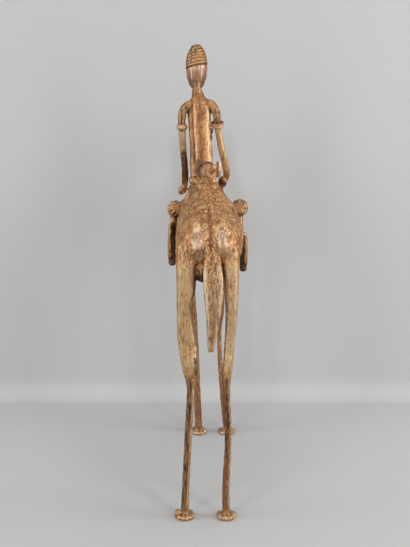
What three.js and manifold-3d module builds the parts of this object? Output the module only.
// A West African bronze of a rider on a long-legged camel, cast in one piece by the lost-wax way.
// Millimetres, +Z up. The camel faces +Y and stands on four round pads at Z = 0.
// The origin is on the floor under the middle of the figure, and +X is the rider's right hand side.
import * as THREE from "three";
import { mergeVertices } from "three/addons/utils/BufferGeometryUtils.js";
import Module from "manifold-3d";

const wasm = await Module();
wasm.setup();

// Driving dimensions of the camel
const HIND_Y = -245; // the hind pads
const FORE_Y = 105; // the fore pads
const PAD_RADIUS = 17;
const BELLY_Z = 414;
const HUMP_Z = 547;
const BODY_HALF_WIDTH = 55;
const RUMP_X = 2.7; // the rump leans a little to the right
const RUMP_Y = -264.5;
const HEAD_X = -4; // the head turns a little to the left
const NOSE_Y = 274;
const SHANK = 5.7; // half the thickness of a leg below the hock
const TAIL_TIP_Z = 299;
const REIN = 2.2; // half the thickness of a rein

// Driving dimensions of the saddle and the rider
const SADDLE_X = -0.5; // the middle of the saddle's cantle
const CANTLE_TOP_Z = 591;
const SEAT_Z = 545;
const RIDER_Y = -92;
const SHOULDER_Z = 682;
const CHIN_Z = 707;
const CAP_RIM_Z = 744;
const FIGURE_HEIGHT = 780; // the tip of the rider's cap
const KNEE_Z = 494;
const KNEE_SPAN = 144.8; // outside to outside over the rider's knees

const X_AXIS = new THREE.Vector3(1, 0, 0);
const Y_AXIS = new THREE.Vector3(0, 1, 0);

// A closed geometry becomes a solid once only its positions are left and shared points are one.
function solid(geometry) {
  geometry.deleteAttribute("normal");
  geometry.deleteAttribute("uv");
  const merged = mergeVertices(geometry, 1e-4);
  const corners = [];
  for (let i = 0; i < merged.index.count; i += 3) {
    const [a, b, c] = [0, 1, 2].map((k) => merged.index.getX(i + k));
    if (a !== b && b !== c && c !== a) corners.push(a, b, c);
  }
  return new wasm.Manifold(
    new wasm.Mesh({
      numProp: 3,
      vertProperties: new Float32Array(merged.attributes.position.array),
      triVerts: new Uint32Array(corners),
    }),
  );
}

// A limb is a capsule bent along a smooth curve. Each station is [x, y, z, wide, deep]: a place on the
// curve, the half width along the axis called across, and the half depth square to it.
// An egg above 0 makes the section narrower on its upper side, and blunt is how far the ends bulge out.
function limb(stations, { sides = 8, steps = 8, across = X_AXIS, egg = 0, blunt = 1, capRings = 2 } = {}) {
  const path = new THREE.CatmullRomCurve3(stations.map(([x, y, z]) => new THREE.Vector3(x, y, z)));
  const girth = new THREE.CatmullRomCurve3(stations.map(([, , , w, d]) => new THREE.Vector3(w, d, 0)));
  const geometry = new THREE.CapsuleGeometry(1, 1, capRings, sides, steps);
  const position = geometry.attributes.position;
  for (let i = 0; i < position.count; i += 1) {
    const along = THREE.MathUtils.clamp(position.getY(i), -0.5, 0.5);
    const t = along + 0.5;
    const tangent = path.getTangent(t);
    const side = across.clone().addScaledVector(tangent, -across.dot(tangent)).normalize();
    const depth = new THREE.Vector3().crossVectors(side, tangent);
    const { x: wide, y: deep } = girth.getPoint(t);
    const place = path
      .getPoint(t)
      .addScaledVector(side, position.getX(i) * wide * (1 - egg * position.getZ(i)))
      .addScaledVector(depth, position.getZ(i) * deep)
      .addScaledVector(tangent, (position.getY(i) - along) * Math.min(wide, deep) * blunt);
    position.setXYZ(i, place.x, place.y, place.z);
  }
  return solid(geometry);
}

// A round lump with its three half sizes.
function lump([x, y, z], [halfX, halfY, halfZ], sides = 8, rings = 6) {
  const geometry = new THREE.SphereGeometry(1, sides, rings);
  geometry.rotateX(Math.PI / 2).scale(halfX, halfY, halfZ).translate(x, y, z);
  return solid(geometry);
}

// A ring round a limb: an oval wire section turned about the limb's own line.
function ring([x, y, z], radius, [wire, height], { tiltX = 0, tiltY = 0, sides = 12, facets = 5 } = {}) {
  const outline = [];
  for (let i = 0; i <= facets; i += 1) {
    const turn = (2 * Math.PI * i) / facets;
    outline.push(new THREE.Vector2(radius + wire * Math.cos(turn), height * Math.sin(turn)));
  }
  const geometry = new THREE.LatheGeometry(outline, sides);
  geometry.rotateX(Math.PI / 2).rotateX(tiltX).rotateY(tiltY).translate(x, y, z);
  return solid(geometry);
}

const join = (parts) => parts.flat().reduce((whole, part) => whole.add(part));

// The barrel of the body with its hump, and the two buttocks with the groove between them.
function camelBody() {
  const humpMiddle = (BELLY_Z + HUMP_Z) / 2;
  const barrel = limb(
    [
      [RUMP_X, RUMP_Y + 34, 464, 46, 47],
      [RUMP_X, RUMP_Y + 60, 470, 53, 55],
      [RUMP_X, -172, 477, BODY_HALF_WIDTH, 61],
      [1, -128, humpMiddle, 53, HUMP_Z - humpMiddle],
      [0, -72, 474, 51, 59],
      [0, -10, 464, 48, 49],
      [0.5, 55, 457, 43, 43],
      [1, 112, 457, 34, 37],
      [1, 150, 460, 21, 25],
    ],
    { sides: 18, steps: 13, egg: 0.14, blunt: 0.66, capRings: 3 },
  );
  const buttocks = [-1, 1].map((side) =>
    lump([RUMP_X + 24.5 * side, RUMP_Y + 60, 471], [28.5, 60, 47], 10, 8),
  );
  const perineum = lump([3, RUMP_Y + 32, 422], [25, 26, 14]);
  return join([barrel, buttocks, perineum]);
}

function camelNeckAndHead() {
  const neck = limb(
    [
      [1, 112, 456, 25, 27],
      [0.5, 158, 461, 19, 22],
      [0, 190, 484, 15, 17],
      [-1, 206, 520, 13, 14.5],
      [-2.5, 211, 556, 12, 13.5],
      [HEAD_X, 216, 590, 11, 12],
    ],
    { sides: 10, steps: 8 },
  );
  const head = limb(
    [
      [HEAD_X, 207, 592, 11, 14],
      [HEAD_X, 224, 596, 13.5, 16.5],
      [HEAD_X, 242, 590, 11.5, 13],
      [HEAD_X, 257, 582, 9.5, 10],
      [HEAD_X, NOSE_Y - 8.5, 577, 9, 9],
    ],
    { sides: 10, steps: 6, egg: 0.12 },
  );
  const ears = [-1, 1].map((side) =>
    limb(
      [
        [HEAD_X + 8 * side, 211, 602, 3, 2.4],
        [HEAD_X + 11 * side, 205, 611, 4, 2.4],
        [HEAD_X + 13 * side, 200, 620, 1.6, 1.4],
      ],
      { sides: 6, steps: 3, capRings: 1 },
    ),
  );
  const eyes = [-1, 1].map((side) => lump([HEAD_X + 10.5 * side, 228, 600], [3.6, 5, 4], 6, 4));
  const noseband = ring([HEAD_X, 252, 584], 10.5, [1.9, 2.2], { tiltX: -1.15, sides: 10 });
  return join([neck, head, ears, eyes, noseband]);
}

// A flat tongue with a raised cord along each edge.
function camelTail() {
  const tongue = [
    [3.5, RUMP_Y + 12, 478, 11, 8],
    [5, RUMP_Y + 1, 446, 15.5, 7],
    [7, RUMP_Y - 5, 403, 13.6, 3.6],
    [6.6, RUMP_Y - 4, 353, 8, 3.4],
    [4.4, RUMP_Y, TAIL_TIP_Z + 4, 3.6, 3],
  ];
  const cords = [-1, 1].map((side) =>
    limb(
      tongue.slice(1).map(([x, y, z, wide]) => [x + side * (wide - 1.2), y - 1.5, z, 2.7, 2.9]),
      { sides: 5, steps: 7, capRings: 1 },
    ),
  );
  return join([limb(tongue, { steps: 8 }), cords]);
}

// A pad is a thick round disc, flat below, with a low crown that the leg grows out of.
function pad(x, y) {
  const profile = [
    [0, 0],
    [PAD_RADIUS - 1, 0],
    [PAD_RADIUS, 2.5],
    [PAD_RADIUS - 2, 6.2],
    [0, 10],
  ].map(([radius, height]) => new THREE.Vector2(radius, height));
  const geometry = new THREE.LatheGeometry(profile, 12);
  geometry.rotateX(Math.PI / 2).translate(x, y, 0);
  return solid(geometry);
}

// The hind legs: a broad flat thigh, a hock and a thin shank. The left one is the wider of the two.
function hindLegs() {
  const left = [
    [-31, -214, 462, 20, 44],
    [-34.5, -220, 430, 16.5, 38],
    [-35, -226, 402, 15.1, 31],
    [-38.2, -232, 360, 11.6, 24],
    [-34.2, -239, 312, 14.4, 17],
    [-28.5, -248, 268, 12.4, 11],
    [-27.8, -250, 236, SHANK, 9],
    [-32, -248, 165, SHANK, 7],
    [-36.5, -246, 80, SHANK, 6.2],
    [-39, HIND_Y, 9, SHANK + 1.5, 7],
  ];
  const right = [
    [34, -214, 462, 20, 44],
    [37, -220, 430, 14, 38],
    [36.5, -226, 402, 11.5, 31],
    [36.6, -232, 360, 8.6, 24],
    [34, -239, 312, 7, 17],
    [31.4, -248, 268, 7, 11],
    [29.8, -250, 236, SHANK, 9],
    [33.8, -248, 150, SHANK, 7],
    [30.5, -246, 60, SHANK, 6.2],
    [31.5, HIND_Y, 9, SHANK + 1.5, 7],
  ];
  const pads = [left, right].map((leg) => pad(leg[leg.length - 1][0], HIND_Y));
  return join([[left, right].map((leg) => limb(leg, { steps: 15, capRings: 1 })), pads]);
}

// The fore legs stand close together, with a slight knee.
function foreLegs() {
  const left = [
    [-20, 100, 452, 12, 25],
    [-31, 104, 398, 9, 17],
    [-32, 108, 330, 5.7, 10],
    [-27, 113, 238, 6.2, 8.4],
    [-23, 108, 150, SHANK, 6.4],
    [-20.5, 106, 70, SHANK, 6],
    [-18, FORE_Y, 9, SHANK + 1.5, 7],
  ];
  const right = [
    [22, 100, 452, 12, 25],
    [30, 104, 398, 8.5, 17],
    [29, 108, 320, 4.8, 10],
    [24, 113, 232, 5.2, 8.4],
    [28.6, 108, 150, 5, 6.4],
    [33, 106, 70, SHANK, 6],
    [40, FORE_Y, 9, SHANK + 1.5, 7],
  ];
  const pads = [left, right].map((leg) => pad(leg[leg.length - 1][0], FORE_Y));
  return join([[left, right].map((leg) => limb(leg, { steps: 10, capRings: 1 })), pads]);
}

// The saddle has a low seat, a hooded cantle behind the rider and a pommel with three horns in front.
function saddle() {
  const seat = lump([-4, RIDER_Y + 14, SEAT_Z - 9], [33, 54, 14], 10, 6);
  const cantleFoot = lump([SADDLE_X + 0.5, -128, 550], [17, 13, 11], 10, 6);
  const cantle = limb(
    [
      [SADDLE_X, -126, 550, 12, 7],
      [SADDLE_X, -128, 566, 14.6, 7.5],
      [SADDLE_X, -131, CANTLE_TOP_Z - 7, 10, 6],
    ],
    { sides: 10, steps: 5 },
  );
  const hoodBend = Math.PI / 2.1;
  const hood = limb(
    [-1, -0.5, 0, 0.5, 1].map((k) => [
      SADDLE_X + 14.2 * Math.sin(k * hoodBend),
      -133,
      CANTLE_TOP_Z - 20 + 17.4 * Math.cos(k * hoodBend),
      2.6,
      5,
    ]),
    { sides: 5, across: Y_AXIS, capRings: 1 },
  );
  const pommel = limb(
    [
      [-2, -22, 516, 17, 6],
      [-2, -20, 545, 15, 5],
      [-2, -18, 557, 21, 4.5],
    ],
    { steps: 3, capRings: 1 },
  );
  const horns = [-1, 0, 1].map((k) =>
    limb(
      [
        [-2 + 19 * k, -18, 552, 5.6, 4.4],
        [-2 + 22 * k, -18, 562 + 12 * (1 - Math.abs(k)), 4.6, 4],
        [-2 + 22 * k, -17, 569 + 24 * (1 - Math.abs(k)), 3.6, 3.4],
      ],
      { sides: 6, steps: 3 },
    ),
  );
  return join([seat, cantleFoot, cantle, hood, pommel, horns]);
}

function riderTorso() {
  const hips = lump([-11, RIDER_Y - 2, 553], [21, 21, 15], 10, 6);
  const buttock = lump([-23.5, RIDER_Y - 20, 558], [9.5, 9, 8]);
  const torso = limb(
    [
      [-9.5, RIDER_Y, 548, 18, 17],
      [-11.2, RIDER_Y - 3, 580, 19.4, 15.5],
      [-11.8, RIDER_Y - 4, 608, 18.6, 14.5],
      [-13.6, RIDER_Y - 4, 640, 18.4, 13.5],
      [-14.6, RIDER_Y - 3, 668, 20, 12.5],
      [-15.2, RIDER_Y - 2, 685, 17.5, 10.5],
      [-16.6, RIDER_Y, 698, 9.8, 9.5],
    ],
    { sides: 12, steps: 9 },
  );
  const neck = limb(
    [
      [-16.4, RIDER_Y + 0.5, 692, 10, 10],
      [-17.4, RIDER_Y + 2, 703, 9.2, 9.4],
      [-18, RIDER_Y + 5, 718, 9.4, 10],
    ],
    { sides: 10, steps: 3 },
  );
  return join([hips, buttock, torso, neck]);
}

// The face is plain and calm: closed eyes at mid height, a straight nose and a small mouth.
function riderHead() {
  const middleX = -18.6;
  const middleY = RIDER_Y + 8;
  const skull = limb(
    [
      [middleX + 0.6, middleY + 2, CHIN_Z + 5, 8.8, 12],
      [middleX + 0.3, middleY + 1.5, CHIN_Z + 13, 13.2, 17],
      [middleX + 0.1, middleY + 0.5, CHIN_Z + 24, 15.4, 19],
      [middleX, middleY, CAP_RIM_Z - 2, 16, 19.2],
      [middleX - 0.3, middleY - 0.5, CAP_RIM_Z + 10, 14, 17],
    ],
    { sides: 12, steps: 6 },
  );
  const faceY = middleY + 18.5;
  const nose = limb(
    [
      [middleX, faceY - 1.5, CAP_RIM_Z - 3, 1.8, 2],
      [middleX, faceY + 1.2, CAP_RIM_Z - 11, 2.4, 2.4],
      [middleX, faceY + 1.8, CAP_RIM_Z - 16, 3.2, 2.4],
    ],
    { sides: 5, steps: 3, capRings: 1 },
  );
  const eyes = [-1, 1].map((side) => lump([middleX + 6.4 * side, faceY - 2, 735], [4, 2.8, 2.6], 6, 4));
  const mouth = lump([middleX, faceY - 1.4, 721.5], [4.4, 2.8, 1.8], 6, 4);
  const ears = [-1, 1].map((side) => lump([middleX + 14.9 * side, middleY - 1, 733], [2, 3.8, 6.5], 6, 4));
  return join([skull, nose, eyes, mouth, ears]);
}

// The cap is a pointed dome coiled out of seven rings that slope down towards the rider's left.
function riderCap() {
  const rings = 7;
  const radius = 18;
  const slope = 0.2;
  const rim = 1.5;
  const dome = FIGURE_HEIGHT - CAP_RIM_Z - rim;
  const profile = [new THREE.Vector2(0, 0), new THREE.Vector2(radius - 1, 0)];
  const facets = 2 * rings;
  for (let i = 0; i <= facets; i += 1) {
    const rise = i / facets;
    const girth = radius * Math.pow(Math.cos((rise * Math.PI) / 2), 0.66);
    const bulge = 0.75 * (1 - 0.6 * rise) * Math.abs(Math.sin(Math.PI * rise * rings));
    profile.push(new THREE.Vector2(girth + bulge, rim + rise * dome));
  }
  profile[profile.length - 1].x = 0;
  const geometry = new THREE.LatheGeometry(profile, 14);
  geometry.rotateX(Math.PI / 2).scale(1, 1.1, 1);
  const position = geometry.attributes.position;
  for (let i = 0; i < position.count; i += 1) {
    position.setZ(i, position.getZ(i) + slope * position.getX(i));
  }
  geometry.translate(-19.2, RIDER_Y + 7.5, CAP_RIM_Z);
  return solid(geometry);
}

// Thin arms hang from sloping shoulders, wear a ring at the elbow and end in closed fists.
function riderArms() {
  const left = [
    [-20, RIDER_Y - 2, SHOULDER_Z - 2, 7, 6],
    [-34, RIDER_Y - 4, SHOULDER_Z - 3, 8, 7],
    [-43.2, RIDER_Y - 5, 665, 7, 6.7],
    [-43.4, RIDER_Y - 4, 640, 6.2, 5.8],
    [-40.6, RIDER_Y + 3, 603, 5.6, 5.2],
    [-38.2, RIDER_Y + 13, 570, 5.6, 5.4],
    [-38, RIDER_Y + 19, 550, 5, 5],
    [-41, RIDER_Y + 21, 537, 4.6, 4.6],
  ];
  const right = [
    [-8, RIDER_Y - 2, SHOULDER_Z, 7, 6],
    [5, RIDER_Y - 4, SHOULDER_Z - 1, 8, 7],
    [14, RIDER_Y - 5, 667, 7, 6.7],
    [16, RIDER_Y - 4, 646, 6.2, 5.8],
    [22.4, RIDER_Y + 3, 606, 5.8, 5.6],
    [30, RIDER_Y + 12, 576, 5.8, 5.8],
    [31.8, RIDER_Y + 18, 556, 5, 5],
    [26, RIDER_Y + 21, 543, 4.6, 4.6],
  ];
  const fists = [
    lump([-42, RIDER_Y + 21, 535], [8.6, 9.5, 8]),
    lump([23.5, RIDER_Y + 21, 542], [8, 9.5, 8.5]),
  ];
  const rings = [
    ring([-43.4, RIDER_Y - 4, 643], 6.4, [2.9, 4]),
    ring([15.6, RIDER_Y - 4, 649], 8, [3.6, 3.4], { tiltY: -0.16 }),
  ];
  const arms = [left, right].map((arm) => limb(arm, { sides: 7, steps: 11, capRings: 1, across: Y_AXIS }));
  return join([arms, fists, rings]);
}

// Bent legs hug the camel's sides, with knobbed knees and long feet that point down, soles to the rear.
function riderLegs() {
  const kneeX = KNEE_SPAN / 2 - 14.2;
  return [-1, 1].map((side) => {
    const right = side > 0;
    const drop = right ? 8 : 0; // the right leg hangs a little lower
    const thigh = limb(
      [
        [-4 + 15 * side, RIDER_Y + 4, 537, 13, 11],
        [-2 + 29 * side, RIDER_Y + 18, 517 - drop / 2, 12, 10.5],
        [44 * side, RIDER_Y + 40, 501 - drop / 2, 11, 10.5],
        [kneeX * side, RIDER_Y + 61, KNEE_Z, 10, 10],
      ],
      { steps: 5, capRings: 1 },
    );
    const knee = lump([kneeX * side, RIDER_Y + 62, KNEE_Z], [14.2, 14.5, 15], 10, 6);
    const footX = right ? 61.2 : -62;
    const shinX = right ? 57 : -61;
    const shin = limb(
      [
        [shinX, RIDER_Y + 60, KNEE_Z - 8, 7, 9],
        [shinX, RIDER_Y + 53, 468 - drop / 2, 6.4, 8],
        [(footX + shinX) / 2, RIDER_Y + 46, 446 - drop, 6, 8],
      ],
      { sides: 7, steps: 4 },
    );
    const foot = limb(
      [
        [footX, RIDER_Y + 37, 467 - drop, 5.8, 6],
        [footX, RIDER_Y + 41, 446 - drop, 7.6, 8],
        [footX, RIDER_Y + 43, 418 - drop, 8.5, 6.5],
        [footX, RIDER_Y + 45, 397 - drop, 7.6, 5],
      ],
      { steps: 6 },
    );
    const sole = limb(
      [
        [footX - side, RIDER_Y + 29.5, 464 - drop, 2.4, 4],
        [footX - side, RIDER_Y + 31.5, 446 - drop, 4.8, 4],
        [footX - side, RIDER_Y + 35, 418 - drop, 5.4, 4],
        [footX - side, RIDER_Y + 39, 402 - drop, 4.4, 4],
      ],
      { sides: 6, steps: 4, capRings: 1 },
    );
    return thigh.add(knee).add(shin).add(foot.subtract(sole));
  });
}

// A rein runs from each fist along the shoulder and the side of the neck to the noseband.
function reins() {
  return [-1, 1].map((side) =>
    limb(
      [
        [side > 0 ? 23.5 : -42, RIDER_Y + 25, 538, REIN, REIN],
        [side > 0 ? 26 : -36, 0, 524, REIN, REIN],
        [-1 + 24 * side, 90, 498, REIN, REIN],
        [-2 + 15 * side, 172, 500, REIN, REIN],
        [-3 + 12.5 * side, 212, 540, REIN, REIN],
        [HEAD_X + 12.5 * side, 232, 572, REIN, REIN],
        [HEAD_X + 10.5 * side, 250, 583, REIN, REIN],
      ],
      { sides: 4, steps: 13, capRings: 1 },
    ),
  );
}

// The whole casting is one solid.
function casting() {
  const whole = join([
    camelBody(),
    camelNeckAndHead(),
    camelTail(),
    hindLegs(),
    foreLegs(),
    saddle(),
    riderTorso(),
    riderHead(),
    riderCap(),
    riderArms(),
    riderLegs(),
    reins(),
  ]);
  const { vertProperties, numProp, triVerts } = whole.getMesh();
  if (numProp !== 3) throw new Error("the casting should hold positions only");
  const geometry = new THREE.BufferGeometry();
  geometry.setAttribute("position", new THREE.BufferAttribute(new Float32Array(vertProperties), 3));
  geometry.setIndex(new THREE.BufferAttribute(new Uint32Array(triVerts), 1));
  geometry.computeVertexNormals();
  return geometry;
}

const bronze = new THREE.MeshStandardMaterial({ color: 0x9a7048, roughness: 0.55, metalness: 0.75 });
const figure = new THREE.Mesh(casting(), bronze);
figure.name = "camel_rider";

const group = new THREE.Group();
group.add(figure);

export default group;
